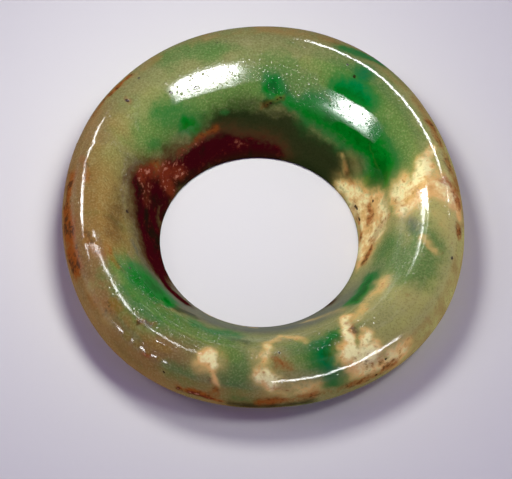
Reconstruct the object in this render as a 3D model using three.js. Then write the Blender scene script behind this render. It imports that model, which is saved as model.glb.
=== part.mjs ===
import * as THREE from 'three';
import { mergeVertices } from 'three/addons/utils/BufferGeometryUtils.js';

// A stone earflare: one ring cut from a single block, with a splayed throat at the
// back that opens through a rounded funnel into a thick, softly rounded rim.
// Millimetres. The flat foot lies on z = 0, the flare faces up, and the origin is
// the middle of the footprint.

// Sizes of the turned section
const rimRadius = 30;
const height = 11.2;
const girthHeight = 5;
const lowerRoundDepth = 5.2;
const upperRoundDepth = 5.7;
const ringWidth = 15.85;
const throatSplay = 4.85;
const shoulderHeight = 7.6;
const shoulderRound = 1.5;
const backEdgeEase = 0.35;
const throatRadius = rimRadius - ringWidth;

// The outer wall is a squarish oval: 2 would be a plain ellipse, more is squarer
const wallSquareness = 2.08;

// The funnel leaves the crest level and comes down to the shoulder at this slope.
// The shares say how long it keeps to either direction, out of the way between them.
const funnelSlope = 36;
const crestPullShare = 0.14;
const slopePullShare = 0.3;

// The drilled throat is not quite in the middle of the stone, so the rim sits aside
const rimOffset = new THREE.Vector2(0.34, 1.8);

// Hand grinding left the rim and the throat a little out of round. Each wave has a
// number of lobes, a swell as a share of the radius, and the angle one lobe faces.
const rimWaveShares = [
  { lobes: 2, swell: 0.026, facing: 93 },
  { lobes: 3, swell: 0.0107, facing: -27 },
  { lobes: 4, swell: 0.0083, facing: -31 },
];
const throatWaveShares = [{ lobes: 2, swell: 0.016, facing: 3 }];

// Steps along each stretch of the section, and round the ring
const lowerRoundSteps = 9;
const upperRoundSteps = 12;
const funnelSteps = 11;
const shoulderSteps = 5;
const throatSteps = 3;
const ringSteps = 96;

const stoneFinish = new THREE.MeshStandardMaterial({
  color: 0x9aa878,
  roughness: 0.22,
  metalness: 0,
});

// One quarter of a squarish oval, in the plane of the section (radius, height)
class OvalQuarter extends THREE.Curve {
  constructor(centre, depth, rise, fromDegrees) {
    super();
    Object.assign(this, { centre, depth, rise, fromDegrees });
  }

  getPoint(share, target = new THREE.Vector2()) {
    const angle = THREE.MathUtils.degToRad(this.fromDegrees + 90 * share);
    const soften = (value) => Math.sign(value) * Math.abs(value) ** (2 / wallSquareness);
    return target.set(
      this.centre.x + this.depth * soften(Math.cos(angle)),
      this.centre.y + this.rise * soften(Math.sin(angle)),
    );
  }
}

// From the crest the funnel leaves level, and it comes down to its foot at its slope
function funnelCurve(crest, foot, uphill) {
  const span = crest.distanceTo(foot);
  return new THREE.CubicBezierCurve(
    crest,
    new THREE.Vector2(crest.x - crestPullShare * span, crest.y),
    foot.clone().addScaledVector(uphill, slopePullShare * span),
    foot,
  );
}

// From the crest down the funnel, over the rounded shoulder and down the throat
function insidePoints(crest, throatFoot) {
  const corner = new THREE.Vector2(throatRadius + throatSplay, shoulderHeight);
  const slope = THREE.MathUtils.degToRad(funnelSlope);
  const uphill = new THREE.Vector2(Math.cos(slope), Math.sin(slope));
  const downWall = throatFoot.clone().sub(corner).normalize();
  const funnelFoot = corner.clone().addScaledVector(uphill, shoulderRound);
  const wallTop = corner.clone().addScaledVector(downWall, shoulderRound);
  const shoulder = new THREE.QuadraticBezierCurve(funnelFoot, corner, wallTop);
  const throatWall = new THREE.LineCurve(wallTop, throatFoot);
  return [
    ...funnelCurve(crest, funnelFoot, uphill).getPoints(funnelSteps).slice(1),
    ...shoulder.getPoints(shoulderSteps).slice(1),
    ...throatWall.getPoints(throatSteps).slice(1),
  ];
}

// The closed outline of the ring's wall: foot, outer wall, crest, funnel, throat
function sectionPoints() {
  const footEdge = new THREE.Vector2(rimRadius - lowerRoundDepth, 0);
  const crest = new THREE.Vector2(rimRadius - upperRoundDepth, height);
  const throatFoot = new THREE.Vector2(throatRadius, backEdgeEase);
  const backEdge = new THREE.Vector2(throatRadius + backEdgeEase, 0);

  const lowerCentre = new THREE.Vector2(footEdge.x, girthHeight);
  const upperCentre = new THREE.Vector2(crest.x, girthHeight);
  const lowerRound = new OvalQuarter(lowerCentre, lowerRoundDepth, girthHeight, -90);
  const upperRound = new OvalQuarter(upperCentre, upperRoundDepth, height - girthHeight, 0);

  return [
    ...lowerRound.getPoints(lowerRoundSteps),
    ...upperRound.getPoints(upperRoundSteps).slice(1),
    ...insidePoints(crest, throatFoot),
    backEdge,
    footEdge.clone(),
  ];
}

// How far a set of waves swells the radius at one angle, as a factor
function swellAt(angle, waveShares) {
  return waveShares.reduce((factor, wave) => {
    const facing = THREE.MathUtils.degToRad(wave.facing);
    return factor + wave.swell * Math.cos(wave.lobes * (angle - facing));
  }, 1);
}

// Moves each point of the turned ring to where hand work left it: the throat keeps
// its centre, and the offset and the rim's waves come in towards the rim
function grindByHand(ring) {
  const places = ring.attributes.position;
  for (let i = 0; i < places.count; i += 1) {
    const x = places.getX(i);
    const y = places.getY(i);
    const radius = Math.hypot(x, y);
    const angle = Math.atan2(y, x);
    const rimShare = THREE.MathUtils.clamp((radius - throatRadius) / ringWidth, 0, 1);
    const swell = THREE.MathUtils.lerp(
      swellAt(angle, throatWaveShares), swellAt(angle, rimWaveShares), rimShare,
    );
    places.setXY(i, x * swell + rimOffset.x * rimShare, y * swell + rimOffset.y * rimShare);
  }
}

// Sets the ring down with the middle of its footprint at the origin
function centreOnFootprint(ring) {
  ring.computeBoundingBox();
  const middle = ring.boundingBox.getCenter(new THREE.Vector3());
  ring.translate(-middle.x, -middle.y, 0);
}

function carvedRing() {
  const turned = new THREE.LatheGeometry(sectionPoints(), ringSteps);
  turned.rotateX(Math.PI / 2);
  turned.deleteAttribute('normal');
  turned.deleteAttribute('uv');
  const ring = mergeVertices(turned);
  grindByHand(ring);
  centreOnFootprint(ring);
  ring.computeVertexNormals();
  return ring;
}

const earflare = new THREE.Group();
const stoneRing = new THREE.Mesh(carvedRing(), stoneFinish);
stoneRing.name = 'stone_ring';
earflare.add(stoneRing);

export default earflare;
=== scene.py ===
from collections import namedtuple
from math import copysign, cos, pi, radians, sin

import bmesh
import bpy
import numpy as np
from mathutils import Matrix, Vector, noise
from mathutils.bvhtree import BVHTree


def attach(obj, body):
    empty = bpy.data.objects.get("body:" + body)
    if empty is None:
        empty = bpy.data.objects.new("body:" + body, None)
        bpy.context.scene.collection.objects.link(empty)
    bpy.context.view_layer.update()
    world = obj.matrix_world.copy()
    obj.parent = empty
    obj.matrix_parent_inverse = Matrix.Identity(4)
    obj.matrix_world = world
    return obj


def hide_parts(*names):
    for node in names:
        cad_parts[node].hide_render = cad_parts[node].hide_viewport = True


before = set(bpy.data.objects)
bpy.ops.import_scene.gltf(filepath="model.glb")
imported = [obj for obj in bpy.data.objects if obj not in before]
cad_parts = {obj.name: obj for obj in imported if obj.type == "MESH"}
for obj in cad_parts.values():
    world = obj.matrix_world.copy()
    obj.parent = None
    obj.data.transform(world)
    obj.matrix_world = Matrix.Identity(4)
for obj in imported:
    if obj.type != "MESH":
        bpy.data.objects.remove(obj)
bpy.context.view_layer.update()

# A green stone ear ornament, lying on its back. Lengths are in metres, and MM makes
# them easy to read.
MM = 0.001

# The turned section, as in the solid model
RIM_RADIUS = 30 * MM
HEIGHT = 11.2 * MM
GIRTH_HEIGHT = 5 * MM
LOWER_ROUND_DEPTH = 5.2 * MM
UPPER_ROUND_DEPTH = 5.7 * MM
RING_WIDTH = 15.85 * MM
THROAT_SPLAY = 4.85 * MM
SHOULDER_HEIGHT = 7.6 * MM
SHOULDER_ROUND = 1.5 * MM
BACK_EDGE_EASE = 0.35 * MM
THROAT_RADIUS = RIM_RADIUS - RING_WIDTH
WALL_SQUARENESS = 2.08
FUNNEL_SLOPE = radians(36)
CREST_PULL_SHARE = 0.14
SLOPE_PULL_SHARE = 0.3

# Hand work: the rim sits aside from the throat, and both are a little out of round.
# A wave is its lobes, its swell as a share of the radius, and where one lobe faces.
RIM_OFFSET = (0.34 * MM, 1.8 * MM)
RIM_WAVE_SHARES = ((2, 0.026, 93), (3, 0.0107, -27), (4, 0.0083, -31))
THROAT_WAVE_SHARES = ((2, 0.016, 3),)

# The middle of the throat at the back, in the row frame: the solid is set down with
# the middle of its footprint at the origin
THROAT_CENTRE = Vector((-0.427 * MM, -2.117 * MM, 0))

# The photograph's frame, and where the middle of the throat's back edge lies in it
PHOTO_WIDTH = 512
PHOTO_HEIGHT = 479
THROAT_PIXEL = (259.1, 242.6)
PIXELS_PER_METRE = 6.868 / MM

# The camera. A lens and its sensor are measured in millimetres.
CAMERA_DISTANCE = 600 * MM
CAMERA_TILT = radians(28)
CAMERA_ROLL = radians(3.3)
CAMERA_REACH = 10
SENSOR_WIDTH = 36


def camera_axes():
    """The camera's right, up and backward directions."""
    level_up = Vector((0, cos(CAMERA_TILT), sin(CAMERA_TILT)))
    level_right = Vector((1, 0, 0))
    back = Vector((0, -sin(CAMERA_TILT), cos(CAMERA_TILT)))
    right = cos(CAMERA_ROLL) * level_right + sin(CAMERA_ROLL) * level_up
    up = cos(CAMERA_ROLL) * level_up - sin(CAMERA_ROLL) * level_right
    return right, up, back


def camera_place():
    """Where the camera stands, so that the throat's centre falls on its pixel."""
    right, up, back = camera_axes()
    aside = (PHOTO_WIDTH / 2 - THROAT_PIXEL[0]) / PIXELS_PER_METRE
    above = (THROAT_PIXEL[1] - PHOTO_HEIGHT / 2) / PIXELS_PER_METRE
    return THROAT_CENTRE + aside * right + above * up + CAMERA_DISTANCE * back


def add_object(name, data):
    """A new object in the scene."""
    made = bpy.data.objects.new(name, data)
    bpy.context.scene.collection.objects.link(made)
    return made


def make_camera():
    lens = bpy.data.cameras.new("photo_camera")
    lens.sensor_width = SENSOR_WIDTH
    lens.sensor_fit = "HORIZONTAL"
    lens.lens = PIXELS_PER_METRE * CAMERA_DISTANCE * SENSOR_WIDTH / PHOTO_WIDTH
    lens.clip_end = CAMERA_REACH
    camera = add_object("photo_camera", lens)
    turn = Matrix(camera_axes()).transposed().to_4x4()
    camera.matrix_world = Matrix.Translation(camera_place()) @ turn
    bpy.context.scene.camera = camera


def pixel_ray(pixel):
    """The direction in which the camera sees a pixel of the photograph."""
    right, up, back = camera_axes()
    focal = PIXELS_PER_METRE * CAMERA_DISTANCE
    across = (pixel[0] - PHOTO_WIDTH / 2) / focal
    upward = (PHOTO_HEIGHT / 2 - pixel[1]) / focal
    return (across * right + upward * up - back).normalized()


# Node wiring. A Signal is a number in a node tree, which adds and multiplies like one.
# In the functions that add nodes, w is the wiring of their tree.

# The middle of a noise, which runs from 0 to 1
NOISE_MIDDLE = 0.5


def operator(operation):
    """An operator of a Signal, and the same with the Signal on its right."""
    def forward(self, other):
        return self.wiring.maths(operation, self, other)

    def reflected(self, other):
        return self.wiring.maths(operation, other, self)

    return forward, reflected


class Signal:
    def __init__(self, wiring, socket):
        self.wiring = wiring
        self.socket = socket

    __add__, __radd__ = operator("ADD")
    __sub__, __rsub__ = operator("SUBTRACT")
    __mul__, __rmul__ = operator("MULTIPLY")
    __truediv__, __rtruediv__ = operator("DIVIDE")


class Wiring:
    """Adds nodes to one tree, and links what they are given."""

    def __init__(self, tree):
        self.tree = tree

    def node(self, kind, sockets=None, **settings):
        made = self.tree.nodes.new(kind)
        for name, value in settings.items():
            setattr(made, name, value)
        for name, value in (sockets or {}).items():
            self.feed(made.inputs[name], value)
        return made

    def feed(self, socket, value):
        if isinstance(value, Signal):
            self.tree.links.new(value.socket, socket)
        elif isinstance(value, bpy.types.NodeSocket):
            self.tree.links.new(value, socket)
        else:
            socket.default_value = value

    def maths(self, operation, *values):
        made = self.node("ShaderNodeMath", dict(enumerate(values)), operation=operation)
        return Signal(self, made.outputs[0])

    def vector_sum(self, first, second):
        sockets = {0: first, 1: second}
        return self.node("ShaderNodeVectorMath", sockets, operation="ADD").outputs[0]

    def scaled(self, vector, factor):
        sockets = {0: vector, "Scale": factor}
        return self.node("ShaderNodeVectorMath", sockets, operation="SCALE").outputs[0]

    def parts(self, vector):
        """The three numbers in a vector."""
        made = self.node("ShaderNodeSeparateXYZ", {0: vector})
        return [Signal(self, output) for output in made.outputs]

    def combined(self, x, y=0.0, z=0.0):
        return self.node("ShaderNodeCombineXYZ", {0: x, 1: y, 2: z}).outputs[0]

    def smooth(self, value, start, full):
        """0 at start, 1 at full and smooth between them, whether it rises or falls."""
        if start > full:
            return 1 - self.smooth_rise(value, full, start)
        return self.smooth_rise(value, start, full)

    def smooth_rise(self, value, start, full):
        """The same for a full that is above start, and may itself be a Signal."""
        made = self.node(
            "ShaderNodeMapRange", {"Value": value, "From Min": start, "From Max": full},
            interpolation_type="SMOOTHSTEP",
        )
        return Signal(self, made.outputs["Result"])

    def mix(self, share, first, second):
        sockets = {0: share, 6: first, 7: second}
        return self.node("ShaderNodeMix", sockets, data_type="RGBA").outputs[2]

    def noise(self, place, scale, detail, roughness=0.5, distortion=0.0):
        made = self.node(
            "ShaderNodeTexNoise",
            {"Vector": place, "Scale": scale, "Detail": detail,
             "Roughness": roughness, "Distortion": distortion},
        )
        return Signal(self, made.outputs[0])


# The section of the ring's wall, as (radius, height) points

LOWER_ROUND_STEPS = 32
UPPER_ROUND_STEPS = 40
FUNNEL_STEPS = 40
SHOULDER_STEPS = 16

# A curve with one corner is drawn with two handles, each this far towards the corner
HANDLE_SHARE = 2 / 3


def squarish(value):
    """Takes a sine or cosine from a circle to the squarish oval of the wall."""
    return copysign(abs(value) ** (2 / WALL_SQUARENESS), value)


def oval_quarter(centre, depth, rise, start, steps):
    """One quarter of a squarish oval, from a starting angle in degrees."""
    points = []
    for step in range(steps + 1):
        angle = radians(start + 90 * step / steps)
        across = squarish(cos(angle))
        upward = squarish(sin(angle))
        points.append(centre + Vector((depth * across, rise * upward)))
    return points


def bezier(a, b, c, d, steps):
    """A curve from a to d with the handles b and c, without its first point."""
    points = []
    for step in range(1, steps + 1):
        t = step / steps
        u = 1 - t
        points.append(u**3 * a + 3 * u * u * t * b + 3 * u * t * t * c + t**3 * d)
    return points


def inside_points(crest, throat_foot):
    """Down the funnel from the crest, over the rounded shoulder, down the throat."""
    corner = Vector((THROAT_RADIUS + THROAT_SPLAY, SHOULDER_HEIGHT))
    uphill = Vector((cos(FUNNEL_SLOPE), sin(FUNNEL_SLOPE)))
    down_wall = (throat_foot - corner).normalized()
    funnel_foot = corner + SHOULDER_ROUND * uphill
    wall_top = corner + SHOULDER_ROUND * down_wall
    span = (crest - funnel_foot).length
    level = crest - Vector((CREST_PULL_SHARE * span, 0))
    sloping = funnel_foot + SLOPE_PULL_SHARE * span * uphill
    to_corner = funnel_foot.lerp(corner, HANDLE_SHARE)
    from_corner = wall_top.lerp(corner, HANDLE_SHARE)
    return (
        bezier(crest, level, sloping, funnel_foot, FUNNEL_STEPS)
        + bezier(funnel_foot, to_corner, from_corner, wall_top, SHOULDER_STEPS)
        + [throat_foot]
    )


def section_points():
    """The closed section: outer wall, crest, funnel, throat and the foot's inner edge."""
    foot_edge = Vector((RIM_RADIUS - LOWER_ROUND_DEPTH, 0))
    crest = Vector((RIM_RADIUS - UPPER_ROUND_DEPTH, HEIGHT))
    throat_foot = Vector((THROAT_RADIUS, BACK_EDGE_EASE))
    back_edge = Vector((THROAT_RADIUS + BACK_EDGE_EASE, 0))
    lower_centre = Vector((foot_edge.x, GIRTH_HEIGHT))
    upper_centre = Vector((crest.x, GIRTH_HEIGHT))
    lower_round = oval_quarter(
        lower_centre, LOWER_ROUND_DEPTH, GIRTH_HEIGHT, -90, LOWER_ROUND_STEPS
    )
    upper_round = oval_quarter(
        upper_centre, UPPER_ROUND_DEPTH, HEIGHT - GIRTH_HEIGHT, 0, UPPER_ROUND_STEPS
    )
    return lower_round + upper_round[1:] + inside_points(crest, throat_foot) + [back_edge]


def section_curve():
    """The section as a closed line, with the radius along x and the height along z."""
    line = bpy.data.curves.new("section", "CURVE")
    line.dimensions = "3D"
    points = section_points()
    spline = line.splines.new("POLY")
    spline.points.add(len(points) - 1)
    for place, point in zip(spline.points, points):
        place.co = (point.x, 0, point.y, 1)
    spline.use_cyclic_u = True
    return add_object("section", line)


# The ring by rule: a sheet of points is wrapped round the throat's axis along the
# section, ground out of round, and given the unevenness of hand work

RING_STEPS = 620
SECTION_STEPS = 150
SHEET_SEAM = 0.01 * MM
CLOSED_SEAM = 0.005 * MM

# Hand work leaves broad waves and small dimples, which fade out towards the flat foot
UNDULATION = 0.22 * MM
UNDULATION_SCALE = 95.0
DIMPLE_DEPTH = 0.05 * MM
DIMPLE_SCALE = 420.0
DIMPLE_FADE = (0.68, 0.8)
FOOT_FADE = (0.4 * MM, 3 * MM)
HAND_WORK_DETAIL = 1.0
HAND_WORK_SEED = 0.37


def swell(w, angle, wave_shares):
    """How far a set of waves swells the radius, as a factor."""
    total = 1.0
    for lobes, share, facing in wave_shares:
        turned = (angle - radians(facing)) * float(lobes)
        total = w.maths("COSINE", turned) * share + total
    return total


def wrap_sheet(w, given):
    """Wraps a sheet of points round the throat's axis, ground out of round."""
    sheet = w.node(
        "GeometryNodeMeshGrid",
        {"Size X": 1, "Size Y": 1, "Vertices X": given["Ring steps"],
         "Vertices Y": given["Section steps"]},
    )
    # The sheet is 1 by 1, from -0.5 to 0.5 each way
    sheet_x, sheet_y, _ = w.parts(w.node("GeometryNodeInputPosition").outputs[0])
    angle = sheet_x * (2 * pi)
    along = 0.5 - sheet_y

    section = w.node(
        "GeometryNodeObjectInfo", {"Object": given["Section"]}, transform_space="ORIGINAL"
    )
    sample = w.node(
        "GeometryNodeSampleCurve",
        {"Curves": section.outputs["Geometry"], "Factor": along}, mode="FACTOR",
    )
    radius, _, height = w.parts(sample.outputs["Position"])

    rim_share = (radius - given["Throat radius"]) / given["Ring width"]
    rim_share = w.maths("MAXIMUM", w.maths("MINIMUM", rim_share, 1.0), 0.0)
    throat_swell = swell(w, angle, THROAT_WAVE_SHARES)
    rim_swell = swell(w, angle, RIM_WAVE_SHARES)
    ground = radius * (throat_swell + (rim_swell - throat_swell) * rim_share)

    turned = w.combined(w.maths("COSINE", angle) * ground, w.maths("SINE", angle) * ground, height)
    aside = w.scaled(given["Rim aside"], rim_share)
    place = w.vector_sum(w.vector_sum(turned, aside), given["Centre"])
    wrapped = w.node(
        "GeometryNodeSetPosition", {"Geometry": sheet.outputs["Mesh"], "Position": place}
    )
    welded = w.node(
        "GeometryNodeMergeByDistance",
        {"Geometry": wrapped.outputs[0], "Distance": SHEET_SEAM},
    )
    return welded.outputs[0]


def work_by_hand(w, given, ring):
    """Gives the ring's surface the unevenness of hand work, above its foot."""
    normal = w.node("GeometryNodeInputNormal").outputs[0]
    place = w.node("GeometryNodeInputPosition").outputs[0]
    seeded = w.vector_sum(place, w.combined(given["Seed"]))
    waves = w.noise(seeded, UNDULATION_SCALE, HAND_WORK_DETAIL) - NOISE_MIDDLE
    dimples = w.smooth(w.noise(seeded, DIMPLE_SCALE, HAND_WORK_DETAIL), *DIMPLE_FADE)
    height = w.parts(place)[2]
    above_foot = w.smooth(height, *FOOT_FADE)
    shift = (waves * given["Undulation"] - dimples * given["Dimple depth"]) * above_foot
    worked = w.node(
        "GeometryNodeSetPosition", {"Geometry": ring, "Offset": w.scaled(normal, shift)}
    )
    return worked.outputs[0]


def ring_tree(inputs):
    """The rule that makes the ring, and the identifiers of its inputs by name."""
    tree = bpy.data.node_groups.new("carved_ring", "GeometryNodeTree")
    tree.interface.new_socket("Geometry", in_out="INPUT", socket_type="NodeSocketGeometry")
    tree.interface.new_socket("Geometry", in_out="OUTPUT", socket_type="NodeSocketGeometry")
    names = {}
    for name, (kind, _) in inputs.items():
        socket = tree.interface.new_socket(name, in_out="INPUT", socket_type="NodeSocket" + kind)
        names[name] = socket.identifier

    w = Wiring(tree)
    given = w.node("NodeGroupInput").outputs
    worked = work_by_hand(w, given, wrap_sheet(w, given))
    smooth = w.node("GeometryNodeSetShadeSmooth", {"Geometry": worked})
    real = w.node("GeometryNodeRealizeInstances", {"Geometry": smooth.outputs[0]})
    finished = w.node(
        "GeometryNodeSetMaterial", {"Geometry": real.outputs[0], "Material": given["Stone"]}
    )
    w.node("NodeGroupOutput", {0: finished.outputs[0]})
    return tree, names


def carve_ring(stone):
    """Makes the ring by its rule, whose inputs have a kind and a value each."""
    section = section_curve()
    inputs = {
        "Section": ("Object", section),
        "Ring steps": ("Int", RING_STEPS + 1),
        "Section steps": ("Int", SECTION_STEPS + 1),
        "Throat radius": ("Float", THROAT_RADIUS),
        "Ring width": ("Float", RING_WIDTH),
        "Rim aside": ("Vector", (*RIM_OFFSET, 0)),
        "Centre": ("Vector", tuple(THROAT_CENTRE)),
        "Undulation": ("Float", UNDULATION),
        "Dimple depth": ("Float", DIMPLE_DEPTH),
        "Seed": ("Float", HAND_WORK_SEED),
        "Stone": ("Material", stone),
    }
    tree, names = ring_tree(inputs)
    blank = add_object("ring_blank", bpy.data.meshes.new("ring_blank"))
    rule = blank.modifiers.new("carve", "NODES")
    rule.node_group = tree
    for name, (_, value) in inputs.items():
        rule[names[name]] = value
    bpy.context.view_layer.update()
    carved = blank.evaluated_get(bpy.context.evaluated_depsgraph_get())
    mesh = bpy.data.meshes.new_from_object(carved)
    mesh.name = "carved_stone"
    ring = add_object("carved_stone", mesh)
    bpy.data.objects.remove(blank)
    bpy.data.objects.remove(section)
    close_up(mesh)
    return ring


def close_up(mesh):
    """Welds the seams and turns every face outwards."""
    work = bmesh.new()
    work.from_mesh(mesh)
    bmesh.ops.remove_doubles(work, verts=work.verts, dist=CLOSED_SEAM)
    bmesh.ops.recalc_face_normals(work, faces=work.faces)
    work.to_mesh(mesh)
    work.free()
    mesh.shade_smooth()


# The stone's colours lie where the photograph shows them. A stroke is how far from
# its route, in millimetres, it has faded to half, then its strength, and then the
# pixels of the route. It runs into the stone as veins do, so it is measured in space
# and not along the surface.

# How sharply a stroke fades, and the shortest run between two of its points
STROKE_FALL = 2.6
SHORTEST_RUN_SQUARED = 1e-12

# How far the strokes stray, and over what distance. The seed keeps every run alike.
STRAY_SEED = 3
STRAY = ((3.2 * MM, 0.5 * MM), (1.3 * MM, 0.4 * MM), (0.6 * MM, 0.22 * MM))

EMERALD = {
    "spot by the top crack": (1.15, 1.2, (272, 86), (276, 90)),
    "band over the throat": (1, 0.9, (292, 102), (302, 106), (314, 108)),
    "band under the shine": (1.9, 1.15, (316, 110), (332, 120), (346, 131), (362, 140)),
    "deep pool, upper": (2, 1.25, (368, 140), (378, 150), (381, 164)),
    "deep pool, lower": (2.1, 1.4, (381, 164), (379, 178), (373, 188)),
    "cloud above the shine": (1.8, 0.95, (342, 90), (354, 92), (366, 100)),
    "cloud towards the rim": (1.6, 0.6, (358, 84), (364, 72)),
    "outer edge": (1.1, 0.62, (342, 48), (362, 54), (380, 63)),
    "left funnel, dark": (1, 1.1, (186, 124), (192, 128)),
    "left funnel": (2.6, 0.34, (160, 112), (178, 114), (192, 120)),
    "left funnel, foot": (1.1, 0.4, (150, 144), (160, 144)),
    "small dot": (0.5, 0.32, (223, 112), (225, 114)),
    "lower left pool": (2.2, 1.1, (140, 276), (148, 280), (158, 292)),
    "lower left pool, by the lip": (0.9, 1.3, (158, 288), (166, 302)),
    "lower left trail": (2.2, 0.3, (134, 288), (152, 304), (172, 318)),
    "lower left trail, end": (1.4, 0.45, (196, 324), (214, 332), (234, 335)),
    "bottom pool": (1.9, 1.3, (329, 354), (336, 346), (341, 338)),
    "bottom pool, below": (1.2, 0.5, (330, 364), (340, 366)),
    "wedge on the throat": (1.05, 1.6, (355, 300), (362, 292), (369, 280)),
    "right funnel": (1.2, 0.22, (384, 250), (392, 242)),
    "right funnel, upper": (1, 0.3, (408, 222), (415, 232)),
    "green in the cream": (0.7, 0.85, (392, 198), (395, 210)),
    "under the lower shine": (1.1, 0.6, (324, 382), (340, 380), (352, 374)),
    "bottom outline": (1, 0.25, (236, 398), (256, 400)),
    "lower left patch by the lip": (1.6, 0.3, (128, 290), (142, 306), (160, 318)),
}

GREEN_CLOUDS = {
    "top left": (2.4, 1, (166, 58), (186, 50), (212, 50)),
    "top": (2.6, 0.6, (240, 66), (270, 62), (300, 70)),
    "left funnel": (3.4, 1.05, (150, 138), (170, 120), (200, 108), (236, 98)),
    "top funnel": (3.6, 1, (244, 86), (290, 82), (330, 92)),
    "right shoulder": (4, 1, (330, 76), (376, 92), (398, 130), (404, 156)),
    "right, by the fork": (2.4, 0.9, (406, 160), (416, 166)),
    "right funnel": (3.4, 1.1, (386, 250), (400, 262), (416, 270), (424, 244)),
    "lower left": (3, 1.1, (124, 268), (140, 300), (176, 322), (220, 338)),
    "lower left crest": (2, 0.5, (128, 310), (150, 330)),
    "bottom": (2.6, 0.9, (226, 350), (240, 366), (238, 384)),
    "bottom right": (2.6, 0.95, (304, 350), (325, 360), (340, 372)),
    "bottom left rim": (1.8, 0.8, (168, 370), (190, 376)),
    "bottom outline": (1.6, 0.5, (228, 396), (256, 402), (276, 400)),
    "outer right": (2, 0.7, (382, 64), (404, 84)),
    "wall by the emerald": (1.2, 0.35, (336, 320), (330, 330), (318, 336)),
}

CREAM = {
    "by the hole, upper": (1.3, 1, (342, 186), (352, 194), (366, 198), (380, 199)),
    "fan by the hole": (2.3, 1, (356, 200), (366, 214), (370, 232), (364, 250)),
    "fan, right": (1.8, 0.95, (378, 202), (384, 216), (378, 232)),
    "foot of the fan": (1.2, 0.6, (362, 252), (360, 264)),
    "knot": (2, 1, (398, 196), (405, 188), (414, 194), (404, 206)),
    "fork, lower": (1.3, 1.1, (414, 186), (422, 174), (426, 164)),
    "fork, upper": (0.8, 0.9, (424, 166), (429, 156), (433, 149)),
    "across the rim": (1.9, 0.95, (416, 190), (430, 186), (444, 190), (452, 198)),
    "rim glow": (1.6, 0.55, (430, 168), (444, 180)),
    "over the edge": (1.2, 0.8, (450, 190), (457, 200), (459, 214)),
    "thin branch": (0.6, 0.4, (342, 156), (345, 166), (347, 178), (354, 190)),
    "thin branch, haze": (1.2, 0.25, (350, 156), (358, 176)),
    "hair in the pool": (0.28, 0.14, (368, 141), (376, 164), (385, 188)),
    "white flake": (0.75, 0.42, (422, 236), (429, 244), (437, 253)),
    "right flecks": (1.4, 0.36, (440, 214), (446, 232)),
    "bottom left patch": (0.9, 1.3, (205, 360), (211, 355), (212, 365)),
    "bottom left patch, haze": (1.5, 0.5, (200, 364), (220, 360)),
    "bottom left tail": (0.6, 0.7, (212, 374), (214, 384)),
    "ring, left side": (0.9, 0.85, (266, 380), (262, 372), (264, 356), (268, 346)),
    "ring, bright foot": (1.15, 1.5, (263, 375), (272, 382)),
    "ring, top": (0.7, 0.55, (268, 344), (282, 338), (296, 337), (304, 342)),
    "ring, left haze": (1, 0.3, (254, 350), (256, 362)),
    "ring, foot haze": (1.5, 0.62, (276, 387), (294, 390), (314, 388)),
    "column": (0.9, 1.2, (346, 318), (349, 334), (351, 346)),
    "column foot": (1.35, 1.55, (350, 353), (359, 359), (371, 353)),
    "column prong": (0.65, 1.15, (362, 346), (366, 338), (368, 332)),
    "slanting haze": (1.4, 0.5, (352, 322), (364, 306), (378, 290), (384, 280)),
    "bottom right haze": (2, 0.85, (360, 368), (376, 366), (392, 359), (402, 350)),
    "lip of the throat": (1.5, 0.36, (308, 321), (324, 316), (340, 310)),
    "near edge of the hole": (0.3, 0.7, (186, 300), (206, 313), (230, 323), (258, 328)),
    "left crest glow": (1.6, 0.24, (90, 288), (98, 304), (106, 318)),
    "right rim glow": (1.4, 0.3, (450, 218), (454, 240)),
    "right low glow": (2.2, 0.24, (402, 292), (416, 304)),
    # A painted highlight: the thin line of light along the near shoulder, laid on as a pale vein
    "shoulder highlight, painted": (0.28, 0.2, (154, 296), (176, 313), (200, 328)),
}

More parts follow.
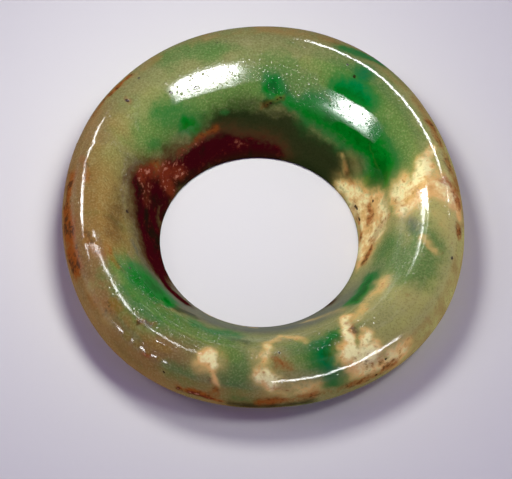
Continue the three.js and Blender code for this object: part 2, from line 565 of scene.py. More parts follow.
RUST = {
    "left rim, upper": (1.1, 0.8, (72, 176), (68, 200), (66, 214)),
    "left rim": (1.6, 1.15, (66, 214), (69, 236), (72, 256), (76, 268)),
    "left rim, inner": (0.7, 0.55, (83, 158), (87, 168), (86, 180)),
    "left crest": (1.1, 0.55, (86, 236), (92, 250), (104, 256)),
    "upper left edge": (0.7, 1.05, (129, 76), (118, 86), (108, 96)),
    "upper left edge, below": (0.6, 0.7, (104, 100), (92, 118)),
    "inner left": (0.9, 0.6, (106, 246), (112, 256), (119, 266)),
    "right edge": (1.2, 0.6, (430, 124), (442, 148), (452, 172), (458, 190)),
    "right edge, upper": (0.7, 0.35, (408, 92), (424, 112)),
    "top right edge": (0.9, 0.35, (312, 36), (336, 42)),
    "rim knot": (1, 0.8, (446, 182), (455, 190), (458, 204)),
    "vein stain on the rim": (0.9, 0.35, (412, 190), (430, 188)),
    "vein stain, inside": (1, 0.4, (396, 200), (404, 208)),
    "throat stripe, edge": (0.5, 0.75, (354, 203), (358, 212), (360, 224), (361, 240)),
    "throat stripe, middle": (0.8, 0.6, (369, 203), (371, 214), (369, 222)),
    "throat stripe, right": (0.9, 0.58, (388, 216), (380, 228), (372, 240)),
    "throat stripe, low": (0.8, 0.65, (376, 234), (370, 250), (364, 262)),
    "throat stripe, thin": (0.5, 0.5, (345, 164), (349, 178), (352, 186)),
    "funnel streak": (0.75, 0.6, (180, 152), (194, 142), (214, 128)),
    "crystal patch": (1.3, 0.85, (144, 174), (156, 168), (166, 170), (178, 173)),
    "crystal patch, low": (1.1, 0.8, (165, 180), (172, 192)),
    "crystal haze": (1.4, 0.4, (150, 182), (146, 200)),
    "stain edge": (0.8, 0.3, (236, 143), (250, 142)),
    "lower left fleck": (0.5, 0.6, (138, 322), (150, 323), (157, 321)),
    "dash fleck": (0.5, 0.95, (145, 355), (149, 357)),
    "left band": (1.6, 0.45, (92, 300), (104, 306), (118, 306)),
    "bottom crack": (0.7, 0.95, (180, 388), (194, 391), (206, 395), (218, 400)),
    "bottom crack, up": (0.5, 0.6, (207, 378), (212, 388), (216, 397)),
    "inside the cream ring": (0.9, 0.7, (275, 356), (282, 365), (290, 370)),
    "ring foot": (0.7, 0.5, (274, 388), (290, 389)),
    "bottom rim": (1.2, 0.75, (262, 402), (276, 400), (292, 399), (312, 395)),
    "bottom right rim": (1, 0.75, (352, 384), (370, 377), (384, 370), (396, 361)),
    "column stain": (0.8, 0.6, (350, 322), (356, 330)),
    "bottom right stain": (1.1, 0.62, (372, 362), (386, 358)),
    "lower right rim": (0.9, 0.35, (404, 352), (424, 332)),
    "right rim dots": (0.6, 0.8, (458, 226), (459, 236)),
    "bottom rim, right": (0.9, 0.5, (308, 396), (330, 392), (350, 385)),
    "halo of the upper left pit": (0.5, 0.55, (125, 99), (128, 102)),
    "brown tail": (0.7, 0.7, (214, 388), (216, 397)),
    "rim flecks": (0.6, 0.4, (70, 170), (66, 190)),
    "top crack": (0.65, 0.42, (264, 106), (273, 102), (284, 96)),
}

STAIN = {
    "left of the throat": (2.9, 1.3, (146, 188), (147, 208), (150, 232), (156, 262)),
    "upper left": (2.6, 1.2, (160, 192), (174, 173), (194, 162), (214, 154)),
    "top": (1.9, 1.15, (206, 150), (232, 146), (256, 148), (270, 154)),
    "top edge": (1.4, 1.2, (212, 160), (240, 156), (270, 157)),
    "lower left lip": (1.1, 1.1, (160, 272), (170, 290), (184, 302)),
    "right wall": (1.3, 0.5, (354, 262), (346, 284), (330, 304)),
    "bottom crack": (0.35, 0.8, (178, 389), (194, 393), (212, 398)),
    "left wall, edge": (0.9, 1.1, (168, 198), (163, 214), (161, 236)),
    "brown of the left funnel": (2.2, 0.27, (124, 182), (119, 205), (112, 232)),
}

# Mostly painted shade: on the throat's far wall and the funnel just above it, in the creases by
# the lip and under the green, and along the near rim at the bottom. The crack spot is the dark of
# the top crack itself.
DARK = {
    "top of the throat": (3.2, 1.1, (222, 128), (262, 126), (292, 132)),
    "over the throat": (2.2, 0.6, (206, 122), (240, 108), (276, 106), (306, 120), (334, 142)),
    "crack spot": (0.8, 1.2, (268, 104), (278, 100), (285, 93)),
    "top right wall": (3.2, 1.5, (290, 150), (316, 158), (336, 168)),
    "green black": (1.8, 1.5, (322, 154), (332, 160), (342, 172)),
    "by the thin branch": (1.5, 0.72, (352, 152), (360, 170), (362, 184)),
    "left of the stain": (1.4, 0.4, (134, 176), (134, 200), (140, 226)),
    "under the green funnel": (1.6, 0.62, (168, 150), (190, 140), (212, 124)),
    "lip under the pool": (0.9, 0.8, (164, 300), (178, 310), (194, 316)),
    "below the green": (0.9, 0.55, (226, 338), (246, 342)),
    "bottom outline": (1.3, 0.75, (232, 404), (270, 406), (310, 402)),
    "lower left": (1.6, 0.3, (114, 344), (126, 356), (140, 366)),
}

PITS = {
    "upper left": (0.26, 0.95, (126, 100), (128, 101)),
    "upper left, small": (0.2, 1.1, (138.5, 78)),
    "edge of the shine": (0.2, 1, (170, 92.5), (172, 92.5)),
    "in the shine": (0.2, 1, (195, 88), (198, 87)),
    "in the shine, upper": (0.18, 1, (208, 76)),
    "right of the shine": (0.2, 1, (239, 77)),
    "top": (0.18, 0.9, (217, 43)),
    "top, right": (0.2, 0.9, (227, 41.5)),
    "left rim": (0.24, 1, (69, 173)),
    "right shoulder": (0.2, 1.2, (354, 76), (355, 77)),
    "right shoulder, upper": (0.17, 1.1, (347, 65), (348, 64)),
    "right shoulder, top": (0.2, 0.9, (338, 57)),
    "right rim": (0.28, 1.1, (452, 258)),
    "right rim, upper": (0.22, 1, (459, 234)),
    "cream rim": (0.26, 1.1, (376, 375)),
    "cream rim, right": (0.24, 1.1, (386, 359)),
    "left funnel": (0.22, 1.1, (126.5, 211), (127.5, 212)),
    "cream vein": (0.22, 1.1, (373, 201)),
    "fan, upper": (0.22, 1, (355, 206), (357, 209)),
    "fan, lower": (0.2, 1, (359, 218), (359.5, 220)),
    "by the lower pool": (0.22, 1, (130, 268)),
    "bottom left": (0.24, 1, (164, 372)),
    "bottom": (0.24, 0.9, (279, 353)),
    "top crack, left": (0.15, 0.85, (267, 105), (272, 102.5)),
    "top crack, right": (0.17, 0.85, (277, 99.5), (282, 97)),
}

GREY = {
    "pale edge of the stain": (0.6, 0.5, (132, 240), (137, 254)),
    "in the lower right funnel": (1.4, 0.5, (404, 214), (416, 228)),
}

# Where the stone is matt, because the photograph shows no highlight there
WORN = {
    "inner crest, right": (0.9, 1.2, (306, 62), (345, 76), (372, 92), (395, 117),
                           (410, 143), (416, 162)),
    "right funnel": (2.4, 1, (394, 150), (400, 172), (402, 190)),
    "left funnel": (2.2, 1, (110, 160), (107, 190), (110, 215), (116, 240)),
    "left funnel, upper": (1.8, 1, (122, 126), (132, 140), (142, 146)),
    "left crest": (0.9, 1.2, (94, 160), (94, 200), (97, 224)),
    "inner crest, left": (0.6, 1.2, (103, 226), (107, 246), (116, 268), (138, 299)),
    "inner crest, lower left": (0.5, 0.62, (138, 299), (170, 325), (212, 345)),
    "near rim, right": (0.9, 1.2, (270, 366), (310, 361), (345, 351), (386, 334)),
    "near rim, left": (0.55, 1.2, (112, 302), (128, 319), (152, 340)),
    "right end": (0.7, 0.9, (412, 314), (424, 300), (434, 280)),
    "break in the left line": (0.4, 1.2, (84, 241)),
    "break in the inner line": (0.25, 1, (97, 243)),
    "first gap in the dashes": (0.5, 1.2, (126, 335), (128, 337)),
    "second gap in the dashes": (0.45, 1.2, (136, 344), (137, 345)),
    "third gap in the dashes": (0.45, 1.2, (148, 352)),
    "fourth gap in the dashes": (0.35, 1.2, (159, 359)),
    "funnel foot, left": (1.8, 1, (170, 119), (198, 108), (226, 100), (256, 94)),
    "funnel foot, right": (1.2, 1.1, (340, 132), (356, 142), (370, 152), (380, 158)),
    "over the right shine": (1, 1.2, (326, 79), (338, 84), (352, 92), (366, 100),
                             (380, 110), (392, 124)),
    "stray shine, right": (0.9, 1, (384, 333), (404, 322)),
    "stray shine, lower left": (0.5, 1.1, (143, 334), (152, 344), (168, 350)),
    "end of the left shine": (2.3, 1.05, (156, 104), (154, 118), (154, 132)),
    "stray shine, bottom left": (0.9, 1, (222, 350), (236, 356)),
    "stray shine, bottom pool": (0.9, 1, (312, 358), (330, 360), (340, 356)),
    "stray shine, upper left": (0.4, 1.2, (131, 111), (133, 110)),
    "end of the right shine": (1, 1.2, (389, 134), (385, 142), (379, 149)),
    "beside the left line": (0.5, 1.35, (97, 147), (91, 172), (88, 190), (87, 210), (88, 236)),
    "over the right highlight": (0.8, 1.2, (417, 160), (419, 170), (421, 183)),
    "between the left lines": (0.35, 1.2, (88, 240), (93, 240)),
}


def stone_spot(tree, eye, pixel):
    """The point of the stone that the camera sees at a pixel, or None past its edge."""
    return tree.ray_cast(eye, pixel_ray(pixel))[0]


def distance_to_route(points, route):
    """How far each point lies from a route through space."""
    nearest = np.full(len(points), np.inf)
    ends = route[1:] or route
    for start, end in zip(route, ends):
        run = end - start
        length_squared = max(run @ run, SHORTEST_RUN_SQUARED)
        share = np.clip((points - start) @ run / length_squared, 0, 1)
        offset = points - start - share[:, None] * run
        nearest = np.minimum(nearest, np.sqrt((offset**2).sum(1)))
    return nearest


def strayed(points):
    """The stone's points, each moved a little, so that strokes wander as veins do."""
    noise.seed_set(STRAY_SEED)
    moved = []
    for point in points:
        spot = Vector(point)
        stray = Vector()
        for grain, reach in STRAY:
            stray += reach * noise.noise_vector(spot / grain)
        moved.append(spot + stray)
    return np.array(moved)


def paint(ring, name, strokes, tree, points):
    """Stores how strongly a set of strokes covers each point, as an attribute."""
    eye = camera_place()
    cover = np.zeros(len(points))
    for label, (breadth, strength, *pixels) in strokes.items():
        spots = [stone_spot(tree, eye, pixel) for pixel in pixels]
        route = [np.array(spot) for spot in spots if spot is not None]
        if not route:
            print("stroke", label, "misses the stone")
            continue
        reach = distance_to_route(points, route) / (breadth * MM)
        cover = np.maximum(cover, strength / (1 + reach**STROKE_FALL))
    attribute = ring.data.attributes.new(name, "FLOAT", "POINT")
    attribute.data.foreach_set("value", cover.astype(np.float32))


def paint_ring(ring):
    points = np.empty(len(ring.data.vertices) * 3, np.float32)
    ring.data.vertices.foreach_get("co", points)
    points = points.reshape(-1, 3).astype(float)
    wandering = strayed(points)
    tree = BVHTree.FromObject(ring, bpy.context.evaluated_depsgraph_get())
    veins = {
        "emerald": EMERALD, "green": GREEN_CLOUDS, "cream": CREAM, "rust": RUST,
        "stain": STAIN, "dark": DARK, "grey": GREY,
    }
    for name, strokes in veins.items():
        paint(ring, name, strokes, tree, wandering)
    paint(ring, "pit", PITS, tree, points)
    paint(ring, "worn", WORN, tree, points)


# The stone's colours

def colour(red, green, blue):
    """A colour as it looks on a screen, 0 to 255, as light values by the sRGB curve."""
    def light(value):
        share = value / 255
        return share / 12.92 if share <= 0.04045 else ((share + 0.055) / 1.055) ** 2.4
    return (light(red), light(green), light(blue), 1)


OLIVE = colour(126, 138, 76)
SHADED_OLIVE = colour(88, 104, 54)
PALE_OLIVE = colour(146, 146, 86)
BROWN_OLIVE = colour(138, 96, 46)
YELLOW_OLIVE = colour(196, 192, 108)
SOFT_GREEN = colour(84, 126, 54)
CLOUD_GREEN = colour(38, 112, 46)
EMERALD_GREEN = colour(0, 114, 24)
BLUE_GREEN = colour(0, 112, 62)
DEEP_GREEN = colour(0, 88, 12)
CREAM_WHITE = colour(255, 248, 176)
CREAM_HAZE = colour(200, 178, 100)
CREAM_ORANGE = colour(238, 190, 112)
RUST_BROWN = colour(150, 74, 22)
RUST_DARK = colour(74, 34, 16)
MAROON = colour(58, 6, 13)
STAIN_BROWN = colour(30, 20, 10)
STAIN_EDGE = colour(78, 52, 28)
CRYSTAL_RED = colour(116, 42, 28)
CRYSTAL_PINK = colour(184, 122, 92)
# A dark green-black for painted shade
SHADE_BLACK = colour(16, 30, 8)
LIP_GREY = colour(84, 90, 78)
# A brown for the outer side, painted lighter to stand in for light
SIDE_BROWN_LIGHTENED = colour(158, 118, 66)
PALE_FLECK = colour(168, 166, 112)
DARK_FLECK = colour(84, 80, 38)
PIT_BROWN = colour(40, 20, 12)

# A coat of colour shows from where its measure passes start, and has its strength
# from where the measure passes full. The measure is a place, a noise or a layer.
Coat = namedtuple("Coat", "colour start full strength", defaults=[1])

PALE_DRIFT = Coat(PALE_OLIVE, 0.35, 0.65)
FAR_SHADE = Coat(SHADED_OLIVE, 4 * MM, 30 * MM, 0.4)
LEFT_BROWN = Coat(BROWN_OLIVE, 8 * MM, 26 * MM, 0.8)
RIGHT_YELLOW = Coat(YELLOW_OLIVE, 12 * MM, 28 * MM, 0.78)
SOFT_CLOUD = Coat(SOFT_GREEN, 0.5, 0.72, 0.4)
GREEN_CLOUD = Coat(SOFT_GREEN, 0.2, 1.0, 0.85)
PALE_MOTTLE = Coat(PALE_FLECK, 0.54, 0.72, 0.22)
DARK_GRAIN = Coat(DARK_FLECK, 0.56, 0.74, 0.25)
PALE_SPECK = Coat(PALE_FLECK, 0.5, 0.68, 0.28)
DARK_SPECK = Coat(DARK_FLECK, 0.5, 0.32, 0.3)
# The outer side is browner, and painted lighter there to stand in for light that the low lamps
# give it too weakly
SIDE_BROWN_AND_LIGHT = Coat(SIDE_BROWN_LIGHTENED, 0.35, 0.65, 0.55)
# Painted shade, mostly, laid where the dark strokes lie
SHADE_AND_DARK = Coat(SHADE_BLACK, 0.12, 0.95, 0.92)
EMERALD_HALO = Coat(CLOUD_GREEN, 0.05, 0.5, 0.9)
OUTER_EMERALD = Coat(BLUE_GREEN, 22 * MM, 26 * MM, 0.8)
DEEP_EMERALD = Coat(DEEP_GREEN, 0.85, 1.3, 0.8)
STAIN_HALO = Coat(STAIN_EDGE, 0.06, 0.4, 0.75)
BROWN_IN_STAIN = Coat(STAIN_BROWN, 0.52, 0.66)
RED_IN_STAIN = Coat(CRYSTAL_RED, 0.56, 0.7, 0.3)
GREY_PATCH = Coat(LIP_GREY, 0.15, 0.7, 0.75)
CREAM_HALO = Coat(CREAM_HAZE, 0.06, 0.6, 0.65)
WHITE_IN_CREAM = Coat(CREAM_WHITE, 0.2, 0.9)
HAZE_IN_CREAM = Coat(CREAM_HAZE, 0.48, 0.7, 0.35)
RUST_IN_CREAM = Coat(RUST_BROWN, 0.62, 0.78, 0.4)
DARK_IN_RUST = Coat(RUST_DARK, 0.5, 0.7)
RED_IN_RUST = Coat(CRYSTAL_RED, 0.3, 0.6, 0.8)
PINK_CRYSTALS = Coat(CRYSTAL_PINK, 0.56, 0.68, 0.8)
DARK_PIT = Coat(PIT_BROWN, 0.45, 0.7, 0.9)
# Painted shade along the throat's back edge, where it meets the floor
BACK_EDGE_SHADE = Coat(SHADE_BLACK, 15.2 * MM, 13.5 * MM, 0.7)

# Coats whose colour varies, so that it is mixed where they are laid
EMERALD_BODY = Coat(None, 0.38, 0.9)
STAIN_BODY = Coat(None, 0.26, 0.85)
CREAM_BODY = Coat(None, 0.26, 0.86, 0.95)
RUST_BODY = Coat(None, 0.14, 0.9, 0.85)

# How much the soft fray and the grain break up the edges of a layer
EMERALD_FRAY = (0.8, 0.5)
STAIN_FRAY = (0.9, 0.5)
CREAM_FRAY = (1.5, 0.7)

# How far the colours' borders across the whole stone wander
BORDER_DRIFT = 20 * MM
LEFT_BORDER_DRIFT = 30 * MM

# How much rougher, and how much duller, each part of the stone is than its polish
POLISH_ROUGHNESS = 0.09
GRAIN_ROUGHNESS = 0.08
ROUGHER = {"funnel": 0.05, "throat": 0.25, "rust": 0.15, "stain": 0.2, "worn": 0.06}
DULLER = {"stain": 0.85, "throat": 0.8, "rust": 0.3, "dark": 0.4, "side": 0.9, "worn": 1}
DULLEST = 0.995
DULL_ROUGHNESS = 0.6
WORN_FADE = (0.3, 0.6)

# How the stone bends light, and how far its red, green and blue glow through, in
# millimetres
STONE_IOR = 1.6
GLOW_SHARE = 0.05
GLOW_REACH = (0.7, 1.0, 0.45)

# The relief, in millimetres. The funnel is smoother than the rest and has deeper pores.
DRIFT_HEIGHT = 0.2
MOTTLE_HEIGHT = 0.05
FUNNEL_SMOOTHNESS = 0.7
PORE_DEPTH = 0.02
FUNNEL_PORE_DEPTH = 0.06
FUNNEL_SPECK_DEPTH = 0.03
SPECK_FADE = (0.6, 0.72)
PIT_DEPTH = 0.07
GRAIN_HEIGHT = 0.006
RUST_HEIGHT = 0.06
STAIN_HEIGHT = 0.05

# Pores lie in cells. Each cell draws a number that says whether it has one, and how
# wide it is, as a share of the cell.
CELL_SCALE = 1700.0
PORE_CHANCE = (0.58, 0.63)
PORE_MIDDLE = 0.02
PORE_REACH = 0.05
PORE_GROWTH = 0.34
PORE_GROWTH_FADE = (0.6, 1.0)

# Where the parts of the ring begin and end: by the distance from the throat's axis, the
# side's top and the throat's bottom by the height, and the near wall's start by how far
# a point lies to the near side
FUNNEL_START = (16.5 * MM, 18.5 * MM)
FUNNEL_END = (25.5 * MM, 23.5 * MM)
SIDE_START = (23.5 * MM, 25.5 * MM)
SIDE_TOP = (10 * MM, 9 * MM)
SIDE_TOP_SLOPE = 0.04
THROAT_END = (21.5 * MM, 18.8 * MM)
THROAT_BOTTOM = (0.1 * MM, 0.6 * MM)
NEAR_WALL_END = (20.2 * MM, 17.8 * MM)
NEAR_WALL_START = (6 * MM, 14 * MM)


class Pattern:
    """Where a point of the stone lies, and the noises that vary its looks there.

    A noise runs from 0 to 1, and what is named after it in -ness runs about 0. In the
    functions below, p is the stone's pattern.
    """

    def __init__(self, w):
        self.place = w.node("ShaderNodeTexCoord").outputs["Object"]
        self.x, self.y, self.z = w.parts(self.place)
        aside_x = self.x - THROAT_CENTRE.x
        aside_y = self.y - THROAT_CENTRE.y
        self.radius = w.maths("SQRT", aside_x * aside_x + aside_y * aside_y)

        self.drift = w.noise(self.place, scale=60.0, detail=3.0, roughness=0.55)
        self.clouds = w.noise(
            self.place, scale=150.0, detail=4.0, roughness=0.6, distortion=0.5
        )
        self.mottle = w.noise(self.place, scale=430.0, detail=4.0, roughness=0.65)
        self.grain = w.noise(self.place, scale=1500.0, detail=3.0, roughness=0.6)
        self.speck = w.noise(self.place, scale=3400.0, detail=2.0, roughness=0.5)
        self.driftiness = self.drift - NOISE_MIDDLE
        self.cloudiness = self.clouds - NOISE_MIDDLE
        self.mottledness = self.mottle - NOISE_MIDDLE
        self.graininess = self.grain - NOISE_MIDDLE

        # What frays the edges of stains, and more softly those of clouds and pools
        self.fray = self.cloudiness * 1.2 + self.mottledness * 1.7 + self.graininess * 1.3
        self.soft_fray = (
            self.cloudiness * 1.6 + self.mottledness * 0.9 + self.graininess * 0.4
        )


def painted(w, name):
    """One of the layers that the strokes left on the stone."""
    return Signal(w, w.node("ShaderNodeAttribute", attribute_name=name).outputs["Fac"])


def frayed(p, soft, grainy):
    """A factor about 1, which breaks up the edges of a layer."""
    return p.soft_fray * soft + p.graininess * grainy + 1


def extent(w, measure, coat):
    """How much of a coat there is: none below its start, and 1 past full."""
    return w.smooth(measure, coat.start, coat.full)


def laid(w, base, share, coat, tone=None):
    """A colour with a coat over it, in the coat's own colour or in a mixed tone."""
    if coat.strength != 1:
        share = share * coat.strength
    return w.mix(share, base, tone or coat.colour)


def covered(w, base, measure, coat):
    """A colour with a coat over it, as far as its measure says."""
    return laid(w, base, extent(w, measure, coat), coat)


def stone_ground(w, p):
    """Mottled olive, browner towards the near left and yellower towards the right."""
    near_left = p.x * -1.0 - p.y * 0.5 + p.driftiness * LEFT_BORDER_DRIFT
    base = OLIVE
    for measure, coat in (
        (p.drift, PALE_DRIFT),
        (p.y + p.cloudiness * BORDER_DRIFT, FAR_SHADE),
        (near_left, LEFT_BROWN),
        (p.x + p.cloudiness * BORDER_DRIFT, RIGHT_YELLOW),
        (p.clouds, SOFT_CLOUD),
        (painted(w, "green") + p.soft_fray * 0.5, GREEN_CLOUD),
        (p.mottle, PALE_MOTTLE),
        (p.grain, DARK_GRAIN),
        (p.speck, PALE_SPECK),
        (p.speck, DARK_SPECK),
    ):
        base = covered(w, base, measure, coat)
    return base


def near_throat_wall(w, p, base):
    """The grey that the photograph shows on the throat's near wall."""
    wall = w.smooth(p.radius, *NEAR_WALL_END) * w.smooth(p.y * -1.0, *NEAR_WALL_START)
    return w.mix(wall * (p.soft_fray * 0.5 + 0.75), base, LIP_GREY)


def emerald_pools(w, p, base):
    """Clear green pools, bluer on the rim and darker in their middles."""
    pools = painted(w, "emerald") * frayed(p, *EMERALD_FRAY)
    green = covered(w, EMERALD_GREEN, p.radius, OUTER_EMERALD)
    base = covered(w, base, pools, EMERALD_HALO)
    base = laid(w, base, extent(w, pools, EMERALD_BODY), EMERALD_BODY, green)
    return covered(w, base, pools, DEEP_EMERALD)


def dark_stain(w, p, base):
    """The dark red stain of the throat, and where it is."""
    measure = painted(w, "stain") * frayed(p, *STAIN_FRAY)
    stain = extent(w, measure, STAIN_BODY)
    red = covered(w, MAROON, p.clouds, BROWN_IN_STAIN)
    red = covered(w, red, p.grain + p.mottledness * 0.6, RED_IN_STAIN)
    base = covered(w, base, measure, STAIN_HALO)
    return laid(w, base, stain, STAIN_BODY, red), stain


def cream_veins(w, p, base):
    """Cream veins, whitest in their middles, with a haze round them and rusty flecks. One thin
    pale stroke on the near shoulder is a painted highlight.
    """
    cream = painted(w, "cream")
    haze = extent(w, cream * (p.soft_fray * 0.9 + 1), CREAM_HALO)
    veins = extent(w, cream * frayed(p, *CREAM_FRAY), CREAM_BODY)
    warmth = p.cloudiness * 1.1 + p.mottledness * 1.2 + p.graininess * 0.5
    body = covered(w, CREAM_ORANGE, cream * 0.6 - warmth * 1.7, WHITE_IN_CREAM)
    body = covered(w, body, p.mottle + p.graininess * 0.8, HAZE_IN_CREAM)
    flecks = haze * extent(w, p.grain + p.mottledness * 0.7, RUST_IN_CREAM)
    base = laid(w, base, haze, CREAM_HALO)
    base = laid(w, base, veins, CREAM_BODY, body)
    return laid(w, base, flecks, RUST_IN_CREAM)


def rust_and_crystals(w, p, base):
    """Rust, which is redder and full of pale crystals on the stain, and where it is."""
    rust = extent(w, painted(w, "rust") * (p.fray + 1), RUST_BODY)
    stained = extent(w, painted(w, "stain"), RED_IN_RUST)
    brown = covered(w, RUST_BROWN, p.mottle + p.graininess * 0.9, DARK_IN_RUST)
    brown = laid(w, brown, stained, RED_IN_RUST)
    crystals = rust * stained * extent(w, p.grain + p.mottledness * 0.5, PINK_CRYSTALS)
    base = laid(w, base, rust, RUST_BODY, brown)
    return laid(w, base, crystals, PINK_CRYSTALS), rust


def pores(w, p):
    """Open pores of many sizes, each 1 in its middle."""
    cells = w.node(
        "ShaderNodeTexVoronoi",
        {"Vector": p.place, "Scale": CELL_SCALE, "Randomness": 1.0}, feature="F1",
    )
    drawn = w.node("ShaderNodeSeparateColor", {0: cells.outputs["Color"]})
    number = Signal(w, drawn.outputs[0])
    distance = Signal(w, cells.outputs["Distance"])
    reach = PORE_REACH + w.smooth(number, *PORE_GROWTH_FADE) * PORE_GROWTH
    pore = 1 - w.smooth_rise(distance, PORE_MIDDLE, reach)
    return pore * w.smooth(number, *PORE_CHANCE)


def relief(w, p, where):
    """How far the stone's surface stands up, in millimetres."""
    calm = 1 - where["funnel"] * FUNNEL_SMOOTHNESS
    waves = p.driftiness * calm * DRIFT_HEIGHT + p.mottledness * calm * MOTTLE_HEIGHT
    open_pores = pores(w, p) * (PORE_DEPTH + where["funnel"] * FUNNEL_PORE_DEPTH)
    grit = GRAIN_HEIGHT + where["rust"] * RUST_HEIGHT + where["stain"] * STAIN_HEIGHT
    specks = w.smooth(p.speck, *SPECK_FADE) * where["funnel"] * FUNNEL_SPECK_DEPTH
    return waves - open_pores - where["pit"] * PIT_DEPTH + p.graininess * grit - specks


def weighted(where, shares, start):
    """A property that starts at one value, and to which parts of the stone add."""
    return sum((where[name] * share for name, share in shares.items()), start)


def stone_finish():
    material = bpy.data.materials.new("veined_green_stone")
    material.use_nodes = True
    material.node_tree.nodes.clear()
    w = Wiring(material.node_tree)
    p = Pattern(w)

    side_top = w.smooth(p.z - p.y * SIDE_TOP_SLOPE, *SIDE_TOP)
    where = {
        "funnel": w.smooth(p.radius, *FUNNEL_START) * w.smooth(p.radius, *FUNNEL_END),
        "throat": w.smooth(p.radius, *THROAT_END) * w.smooth(p.z, *THROAT_BOTTOM),
        "side": w.smooth(p.radius, *SIDE_START) * side_top,
        "worn": w.smooth(painted(w, "worn") + p.mottledness * 0.4, *WORN_FADE),
        "dark": extent(w, painted(w, "dark") + p.soft_fray * 0.45, SHADE_AND_DARK),
        "pit": extent(w, painted(w, "pit") + (p.speck - NOISE_MIDDLE) * 0.3, DARK_PIT),
    }
    # The outer side: browner, and painted lighter in place of light
    lit_side_brown = where["side"] * extent(w, p.clouds + p.mottledness * 0.6, SIDE_BROWN_AND_LIGHT)

    base = stone_ground(w, p)
    base = laid(w, base, lit_side_brown, SIDE_BROWN_AND_LIGHT)
    # Painted shade, mostly, where the dark strokes lie
    base = laid(w, base, where["dark"], SHADE_AND_DARK)
    base = near_throat_wall(w, p, base)
    base = emerald_pools(w, p, base)
    base, where["stain"] = dark_stain(w, p, base)
    base = covered(w, base, painted(w, "grey") * (p.soft_fray * 0.8 + 1), GREY_PATCH)
    base = cream_veins(w, p, base)
    base, where["rust"] = rust_and_crystals(w, p, base)
    base = laid(w, base, where["pit"], DARK_PIT)
    # Painted shade along the throat's back edge, where it meets the floor
    base = covered(w, base, p.radius, BACK_EDGE_SHADE)

    roughness = weighted(where, ROUGHER, POLISH_ROUGHNESS) + p.graininess * GRAIN_ROUGHNESS
    bump = w.node(
        "ShaderNodeBump",
        {"Strength": 1.0, "Distance": 1 * MM, "Height": relief(w, p, where)},
    )
    polished = w.node(
        "ShaderNodeBsdfPrincipled",
        {"Base Color": base, "Roughness": roughness, "IOR": STONE_IOR,
         "Subsurface Weight": GLOW_SHARE, "Subsurface Radius": GLOW_REACH,
         "Subsurface Scale": 1 * MM, "Normal": bump.outputs[0]},
    )
    dull = w.node(
        "ShaderNodeBsdfPrincipled",
        {"Base Color": base, "Roughness": DULL_ROUGHNESS, "Specular IOR Level": 0.0,
         "Normal": bump.outputs[0]},
    )
    dullness = w.maths("MINIMUM", weighted(where, DULLER, 0.0), DULLEST)
    finish = w.node("ShaderNodeMixShader", {0: dullness})
    w.feed(finish.inputs[1], polished.outputs[0])
    w.feed(finish.inputs[2], dull.outputs[0])
    w.node("ShaderNodeOutputMaterial", {"Surface": finish.outputs[0]})
    return material


# The room: a plain pale floor, soft lamps that light the stone, and thin ones that
# only show in its polish

FLOOR_HALF_WIDTH = 1.5
FLOOR_COLOUR = colour(232, 233, 224)
FLOOR_ROUGHNESS = 0.9
FLOOR_SHEEN = 0.1
LAMP_DISTANCE = 500 * MM

# The surroundings are a dim violet, which tints the shadows as in the photograph
ROOM_COLOUR = (0.3, 0.04, 1, 1)
ROOM_STRENGTH = 0.18

# The small lamp above the stone
OVERHEAD_PLACE = Vector((-10 * MM, 13 * MM, 79 * MM))
OVERHEAD_SIZE = 26 * MM
OVERHEAD_BRIGHTNESS = 26

# A lamp is a strip between two directions, each an azimuth and an elevation in degrees.
# Its breadth is in degrees as well, as the stone sees it, and its brightness is that of
# its face, whatever its size.
Lamp = namedtuple("Lamp", "first last breadth brightness shape", defaults=["RECTANGLE"])

SOFT_LAMPS = {
    "soft_left": Lamp((165, 50), (190, 50), 8, 7),
    "soft_right": Lamp((-8, 66), (16, 66), 12, 17),
    "low_front": Lamp((-130, 3), (-50, 3), 4, 4.6),
    "low_left": Lamp((150, 4), (218, 4), 4, 9.3),
    "low_right": Lamp((-25, 4), (40, 4), 4, 10),
}

GLEAMS = {
    "gleam_back_right": Lamp((84, 21), (44, 20), 4.6, 24),
    "gleam_right": Lamp((37, 16), (32, 14), 2.5, 22),
    "gleam_left": Lamp((130, 19), (172, 29), 3.1, 22),
    "gleam_high_left": Lamp((130, 59), (180, 63), 3.2, 22),
    "gleam_high_front": Lamp((188, 65), (228, 69), 1.8, 20),
    "gleam_front_right": Lamp((-80, 13), (-28, 11), 3.6, 22),
    "gleam_front_left": Lamp((-154, 5), (-127, 7), 2.4, 24),
    "gleam_funnel_left": Lamp((-25, 46.4), (-66, 58.5), 8, 50, "ELLIPSE"),
    "gleam_funnel_right": Lamp((-138, 49.2), (-162, 41), 3.8, 70, "ELLIPSE"),
    "gleam_streak": Lamp((2, 29), (-8, 31), 2, 20),
    "gleam_right_crest": Lamp((157, 28), (134, 56), 11, 24),
}


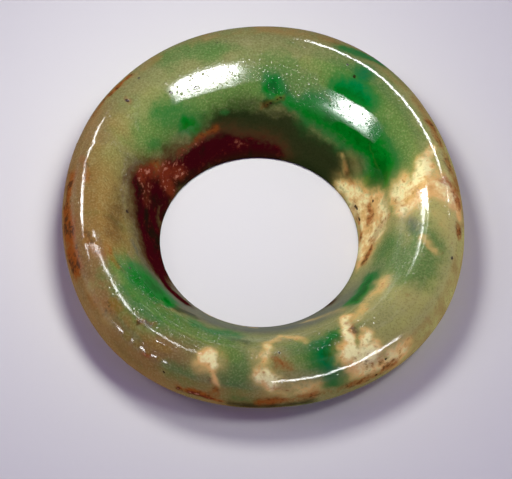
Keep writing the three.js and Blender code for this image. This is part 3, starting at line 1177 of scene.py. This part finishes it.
def make_floor():
    board = bpy.data.materials.new("pale_board")
    board.use_nodes = True
    shader = board.node_tree.nodes["Principled BSDF"]
    shader.inputs["Base Color"].default_value = FLOOR_COLOUR
    shader.inputs["Roughness"].default_value = FLOOR_ROUGHNESS
    shader.inputs["Specular IOR Level"].default_value = FLOOR_SHEEN
    work = bmesh.new()
    bmesh.ops.create_grid(work, x_segments=1, y_segments=1, size=FLOOR_HALF_WIDTH)
    mesh = bpy.data.meshes.new("floor")
    work.to_mesh(mesh)
    work.free()
    mesh.materials.append(board)
    floor = add_object("floor", mesh)


def lamp_direction(azimuth, elevation):
    turn = radians(azimuth)
    rise = radians(elevation)
    across = cos(rise)
    return Vector((across * cos(turn), across * sin(turn), sin(rise)))


def make_lamp(name, lamp):
    start = lamp_direction(*lamp.first) * LAMP_DISTANCE
    end = lamp_direction(*lamp.last) * LAMP_DISTANCE
    middle = (start + end) / 2
    along = (end - start).normalized()
    outward = (middle - middle.dot(along) * along).normalized()
    light = bpy.data.lights.new(name, "AREA")
    light.shape = lamp.shape
    light.size = (end - start).length
    light.size_y = LAMP_DISTANCE * radians(lamp.breadth)
    light.energy = lamp.brightness * pi * light.size * light.size_y
    holder = add_object(name, light)
    turn = Matrix((along, outward.cross(along), outward)).transposed().to_4x4()
    holder.matrix_world = Matrix.Translation(middle) @ turn
    return holder


def make_overhead():
    """A small soft lamp close above the stone, which shades the board all round it."""
    light = bpy.data.lights.new("soft_overhead", "AREA")
    light.shape = "DISK"
    light.size = OVERHEAD_SIZE
    light.energy = OVERHEAD_BRIGHTNESS * pi * pi * (OVERHEAD_SIZE / 2) ** 2
    holder = add_object("soft_overhead", light)
    holder.location = OVERHEAD_PLACE
    holder.visible_glossy = False


def make_lights():
    make_overhead()
    for name, lamp in SOFT_LAMPS.items():
        make_lamp(name, lamp).visible_glossy = False
    for name, lamp in GLEAMS.items():
        make_lamp(name, lamp).visible_diffuse = False
    world = bpy.data.worlds.new("room")
    world.use_nodes = True
    surroundings = world.node_tree.nodes["Background"]
    surroundings.inputs["Color"].default_value = ROOM_COLOUR
    surroundings.inputs["Strength"].default_value = ROOM_STRENGTH
    bpy.context.scene.world = world
    bpy.context.scene.view_settings.view_transform = "Standard"


make_camera()
stone = stone_finish()
ring = carve_ring(stone)
paint_ring(ring)
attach(ring, "root")
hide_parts("stone_ring")
make_floor()
make_lights()
